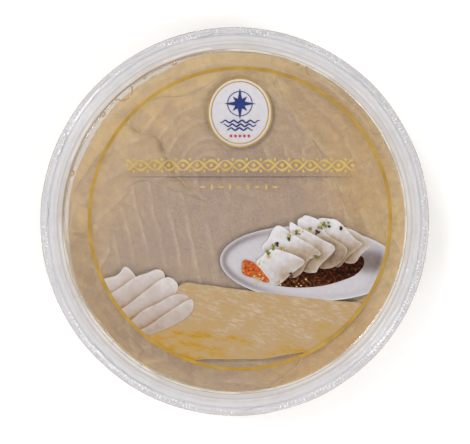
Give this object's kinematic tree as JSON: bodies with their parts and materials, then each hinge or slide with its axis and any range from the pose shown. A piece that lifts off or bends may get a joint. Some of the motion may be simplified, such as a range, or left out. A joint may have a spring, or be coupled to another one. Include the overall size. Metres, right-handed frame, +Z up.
{
  "type": "tub of smoked cod slices in oil",
  "caption": "Shut round clear plastic tub with a press-on clear lid, packed with thin smoked cod slices in oil.",
  "frame": {"origin": "on the surface it stands on, under the middle of the tub", "axes": "+Z up through the lid, +X to the right and +Y away from the reader of the lid's print"},
  "size_m": [0.14, 0.14, 0.032],
  "materials": {
    "tub_plastic": "clear, slightly hazy",
    "lid_plastic": "clear, slightly hazy",
    "cod_stack": "moist flesh",
    "cod_brown": "moist flesh",
    "cod_golden": "moist flesh",
    "cod_tan": "moist flesh",
    "cod_pale": "moist flesh",
    "oil": "clear pale golden liquid",
    "print_gold": "gold ink",
    "print_picture": "printed film"
  },
  "bodies": {
    "root": {"tub": "tub_plastic", "lid": "lid_plastic", "fish_stack": "cod_stack", "slice_low_left": "cod_brown", "slice_bottom": "cod_pale", "slice_low_right": "cod_tan", "slice_upper_left": "cod_golden", "slice_right": "cod_tan", "slice_left": "cod_pale", "slice_centre": "cod_pale", "slice_middle": "cod_pale"}
  },
  "joints": []
}
